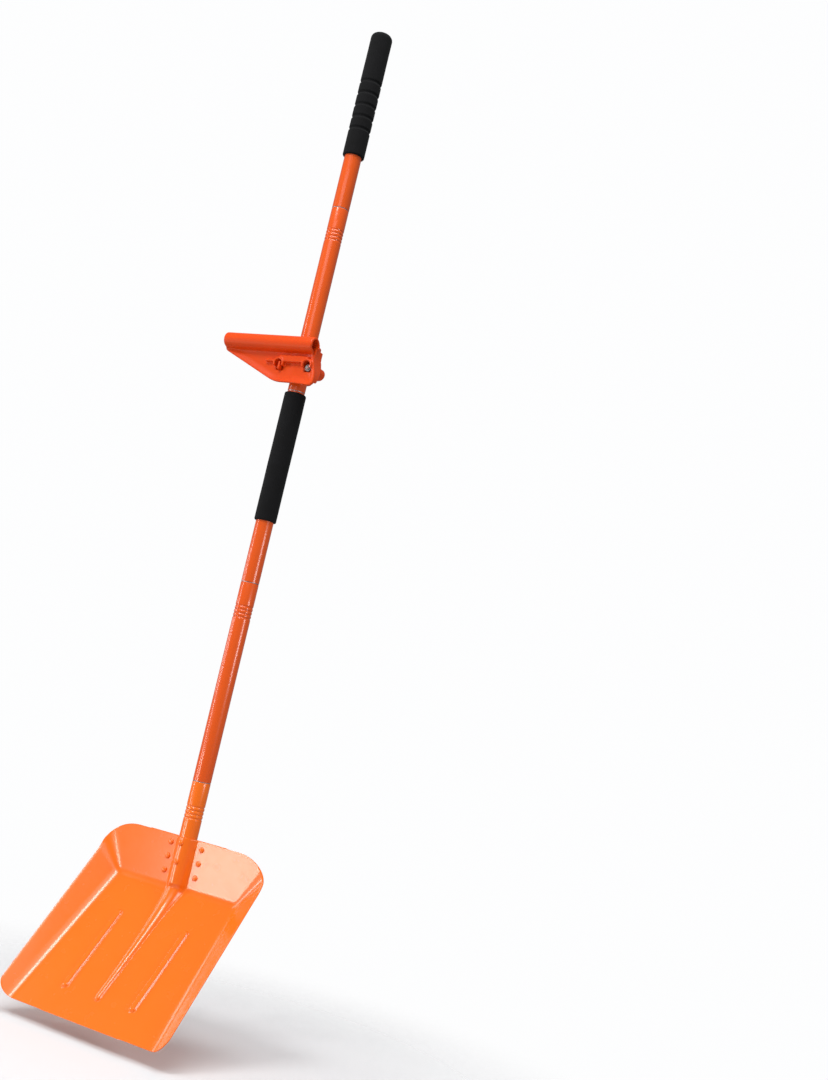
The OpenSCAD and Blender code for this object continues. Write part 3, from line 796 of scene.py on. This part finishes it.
def handle_field(x, y, z):
    """Bar, web and front half of the clamp in one moulding."""
    bar = rod(np.hypot(y - BAR_Y, z - BAR_Z) - BAR_R, x, BAR_X, 2.0)
    slope = web_foot(x + 0.5) - web_foot(x - 0.5)
    above_foot = (z - web_foot(x)) / np.sqrt(1 + slope ** 2)
    rim_gap = smooth_union(above_foot, web_end(z) - x, 9)
    body = smooth_union(bar, handle_web(x, y, z, rim_gap), 6)
    # front half of the clamp's saddle, and the blocks that join it to the web
    saddle = rod(np.hypot(x, y) - SADDLE_OUT, z, FRONT_SADDLE_Z, 1.0)
    body = smooth_union(body, saddle, 4)
    for side in (-1, 1):
        low, high = sorted((side * 12, side * (BOSS_X + 8)))
        body = smooth_union(body, block(x, y, z, (low, -17, 20), (high, 0, 45), 2.0), 2)
    body = smooth_union(body, handle_ledge(x, y, z), 1.2)
    # cuts: rim, bore, shaft, the clamp's split, pockets, bolt and hook
    body = smooth_cut(body, np.maximum(rim_gap, z - BAR_Z + 4), 1.2)
    body = smooth_cut(body, teardrop_bore(x, y, z), 1.0)
    body = smooth_cut(body, np.hypot(x, y) - SADDLE_IN, 0.5)
    body = np.maximum(body, HALF_GAP + y)
    for side in (-1, 1):
        hole = np.hypot(x - side * BOSS_X, z - ARCH_Z) - POCKET_R
        below = np.maximum(np.abs(x - side * BOSS_X) - POCKET_R, np.abs(z - 31) - 5)
        pocket = np.maximum(smooth_union(hole, below, 1), y - POCKET_Y)
        body = smooth_cut(body, pocket, 1.2)
    body = smooth_cut(body, np.hypot(x - BOSS_X, z - BOSS_Z) - BOLT_R - BOLT_FIT, 0.4)
    slot = block(x, y, z, (-BOSS_X - 0.3, -40, BOSS_Z - HOOK_SLOT_HALF),
                 (-BOSS_X + 3.5, 20, BOSS_Z + HOOK_SLOT_HALF), 0.5)
    return smooth_cut(body, slot, 0.4)


def rear_clamp_field(x, y, z):
    """Rear half of the clamp, with the hook that goes through the front half."""
    saddle = rod(np.hypot(x, y) - SADDLE_OUT, z, REAR_SADDLE_Z, 1.2)
    collar = rod(np.hypot(x, y) - SADDLE_OUT - 2.5, z, (63, 70), 1.5)
    body = smooth_union(saddle, collar, 2.5)
    for side in (-1, 1):
        boss = rod(np.hypot(x - side * BOSS_X, z - BOSS_Z) - BOSS_R, y, (-4, EAR_Y), 1.4)
        bridge = block(x, y, z, (min(0, side * BOSS_X), -4, BOSS_Z - 8.4),
                       (max(0, side * BOSS_X), EAR_Y - 2.5, BOSS_Z + 8.4), 1.2)
        body = smooth_union(smooth_union(body, bridge, 2), boss, 2.5)
    body = np.maximum(body, HALF_GAP - y)
    arm = block(x, y, z, (-BOSS_X, BOSS_Y + 1, BOSS_Z - HOOK_HALF),
                (-BOSS_X + 3.2, 6, BOSS_Z + HOOK_HALF), 0.9)
    barb = block(x, y, z, (-BOSS_X - 2, BOSS_Y + 4.5, BOSS_Z - HOOK_HALF),
                 (-BOSS_X + 1, POCKET_Y - 0.4, BOSS_Z + 2), 0.8)
    body = smooth_union(body, smooth_union(arm, barb, 0.8), 1.0)
    body = smooth_cut(body, np.hypot(x, y) - SADDLE_IN, 0.5)
    bolt_hole = np.hypot(x - BOSS_X, z - BOSS_Z) - BOLT_R - BOLT_FIT
    return smooth_cut(body, np.maximum(bolt_hole, -1 - y), 0.4)


def lift(points):
    """Moves points from the handle's own heights to the frame's."""
    return points + [0, 0, HANDLE_Z]


def handle():
    points, faces = field_mesh(handle_field, (-129, -40, -2), (42, 3, 80), 0.75)
    piece("handle_shell", lift(points), faces, "auxiliary_handle", "handle_plastic",
          HANDLE_PLASTIC, ["handle_shell"], 60)
    points, faces = field_mesh(rear_clamp_field, (-37, -27, 4), (37, 24, 76), 0.5)
    piece("rear_clamp", lift(points), faces, "auxiliary_handle", "handle_plastic",
          HANDLE_PLASTIC, ["rear_clamp"], 60)


# ---- Clamp bolt --------------------------------------------------------------------------

def turn_to_y(points):
    """Lays a piece made along +Z on the clamp bolt's axis, pointing to +Y."""
    x, y, z = np.asarray(points).T
    return np.stack([x + BOSS_X, z, -y + HANDLE_Z + BOSS_Z], -1)


def hexagon(apothem, bore):
    """Radius change that makes a round profile six-sided outside its bore."""
    def at(radius, height, angle):
        corner = apothem / np.cos(np.mod(angle, math.pi / 3) - math.pi / 6)
        return np.where(radius > bore + 2, corner * radius / apothem, radius)
    return at


def fasteners():
    tip = POCKET_Y - WASHER_T - NUT_T - 3
    root = BOLT_R - 0.45
    threaded = [(root, z) for z in np.arange(tip + 0.8, 2, 0.08)]
    dome = arc((0, 0), 1, 6, 84, 9)
    head = [(5.5 * a, EAR_Y + 2.2 + 2.0 * b) for a, b in dome]
    profile = ([(0, tip), (root - 0.6, tip)] + threaded + [(BOLT_R, 2.4), (BOLT_R, EAR_Y)]
               + [(5.5, EAR_Y)] + head + [(0, EAR_Y + 4.2)])
    points, faces = lathe(profile, 48, thread_radius(root, BOLT_R, 1, tip + 0.8, 2))
    piece("clamp_bolt", turn_to_y(points), faces, "auxiliary_handle", "zinc_steel", ZINC,
          ["clamp_bolt"], 50)
    apothem, bore, chamfer = NUT_HALF, BOLT_R + 0.05, 0.45
    far, near = POCKET_Y - WASHER_T, POCKET_Y - WASHER_T - NUT_T
    profile = [(bore, near + 0.4), (bore + 0.4, near), (apothem * 0.94, near),
               (apothem, near + chamfer), (apothem, far - chamfer), (apothem * 0.94, far),
               (bore + 0.4, far), (bore, far - 0.4)]
    points, faces = lathe(profile, 96, hexagon(apothem, bore))
    piece("clamp_nut", turn_to_y(points), faces, "auxiliary_handle", "zinc_steel", ZINC,
          ["clamp_nut"], 25)
    near, far = POCKET_Y - WASHER_T, POCKET_Y
    profile = [(3.2, near), (5.8, near), (6, near + 0.2), (6, far - 0.2), (5.8, far), (3.2, far)]
    points, faces = lathe(profile, 64)
    piece("clamp_washer", turn_to_y(points), faces, "auxiliary_handle", "zinc_steel", ZINC,
          ["clamp_washer"], 35)


# ---- CAD pieces that stay ----------------------------------------------------------------

def finish_cad_nodes():
    kept = {"socket_insert": BARE_ALLOY, "shaft_insert_1": BARE_ALLOY, "shaft_insert_2": BARE_ALLOY,
            "shaft_insert_3": BARE_ALLOY, "top_plug": PLUG_PLASTIC, "clamp_liner": LINER_RUBBER}
    for node, material in kept.items():
        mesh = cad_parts[node].data
        mesh.materials.clear()
        mesh.materials.append(material)


# ---- Floor, light and camera -------------------------------------------------------------

def floor():
    """Pale disc under the shovel, clear of the blade at its joint's limit, with a fading rim."""
    mesh = bpy.data.meshes.new("floor")
    points, faces = lathe([(0, -2), (3000, -2), (3000, 0), (1500, 0), (0, 0)], 96)
    mesh.from_pydata((points * MM).tolist(), [], faces)
    obj = bpy.data.objects.new("floor", mesh)
    bpy.context.collection.objects.link(obj)
    obj.location.z = cad_box[0].z - BLADE_TRAVEL
    material, tree, shader = new_material("floor_paper", (0.94, 0.94, 0.95), 0.9,
                                          Specular_IOR_Level=0.1)
    at = object_coordinates(tree)
    grain = texture(tree, "ShaderNodeTexNoise", at, Scale=400, Detail=3).outputs["Fac"]
    tree.links.new(tint(tree, grain, (0.92, 0.92, 0.93), (0.96, 0.96, 0.97)),
                   shader.inputs["Base Color"])
    distance = tree.nodes.new("ShaderNodeVectorMath")
    distance.operation = "LENGTH"
    tree.links.new(at, distance.inputs[0])
    fade = tree.nodes.new("ShaderNodeMapRange")
    fade.interpolation_type = "SMOOTHSTEP"
    for socket, value in (("From Min", FLOOR_FADE[0]), ("From Max", FLOOR_FADE[1]),
                          ("To Min", FLOOR_ALPHA), ("To Max", 0.0)):
        fade.inputs[socket].default_value = value
    tree.links.new(distance.outputs["Value"], fade.inputs["Value"])
    tree.links.new(fade.outputs["Result"], shader.inputs["Alpha"])
    mesh.materials.append(material)


def area_light(name, place, target, size, power, colour=(1, 1, 1)):
    data = bpy.data.lights.new(name, "AREA")
    data.shape = "RECTANGLE"
    data.size, data.size_y = size
    data.energy = power
    data.color = colour
    obj = bpy.data.objects.new(name, data)
    bpy.context.collection.objects.link(obj)
    obj.location = place
    aim = Vector(target) - Vector(place)
    obj.rotation_mode = "QUATERNION"
    obj.rotation_quaternion = aim.to_track_quat("-Z", "Y")
    obj.visible_camera = False
    return obj


def backdrop_world():
    """Even studio surround: near white where it is seen directly, dimmer as a light."""
    world = bpy.data.worlds.new("studio")
    bpy.context.scene.world = world
    world.use_nodes = True
    tree = world.node_tree
    surround = tree.nodes["Background"]
    surround.inputs["Color"].default_value = (0.96, 0.97, 1.0, 1)
    surround.inputs["Strength"].default_value = SURROUND
    seen = tree.nodes.new("ShaderNodeBackground")
    seen.inputs["Color"].default_value = (0.985, 0.987, 0.992, 1)
    rays = tree.nodes.new("ShaderNodeLightPath")
    choose = tree.nodes.new("ShaderNodeMixShader")
    tree.links.new(rays.outputs["Is Camera Ray"], choose.inputs["Fac"])
    tree.links.new(surround.outputs["Background"], choose.inputs[1])
    tree.links.new(seen.outputs["Background"], choose.inputs[2])
    tree.links.new(choose.outputs["Shader"], tree.nodes["World Output"].inputs["Surface"])


def lights():
    middle = (0, 0, 0.2)
    area_light("key", (-0.3, -2.0, 2.3), middle, (0.8, 0.8), 37)
    area_light("overhead", (0.5, -0.6, 2.4), middle, (1.2, 1.2), 26)
    area_light("left_strip", (-1.8, -1.2, 0.2), middle, (0.2, 1.8), 14)
    area_light("wall_card", (-0.46, -0.8, -0.33), (0.07, 0, -0.23), (0.18, 0.2), 1.6,
               (1.0, 0.95, 0.86))
    area_light("left_card", (0.18, -0.82, 0.72), (-0.12, -0.1, -0.35), (0.45, 0.7), 1.8)
    area_light("right_glint", (1.0, -0.12, 0.1), (0, -0.1, -0.35), (0.3, 0.3), 2.8)
    area_light("left_glint", (-1.0, -0.12, 0.1), (0, -0.1, -0.35), (0.3, 0.3), 0.9)


def camera():
    """Camera in front and to the right, a little below the middle, rolled as the view is."""
    data = bpy.data.cameras.new("camera")
    data.sensor_width = 36
    data.lens = 46.27
    obj = bpy.data.objects.new("camera", data)
    bpy.context.collection.objects.link(obj)
    right, up = Vector((0.8662, 0.4501, 0.2171)), Vector((-0.1194, -0.2356, 0.9645))
    turn = Matrix((right, up, right.cross(up))).transposed().to_4x4()
    obj.matrix_world = Matrix.Translation((1.1225, -1.5678, -0.0236)) @ turn
    bpy.context.scene.camera = obj


camera()
shaft_tubes()
studs()
grips()
blade()
strap()
rivets()
handle()
fasteners()
finish_cad_nodes()
floor()
backdrop_world()
lights()
bpy.context.scene.view_settings.view_transform = "Standard"
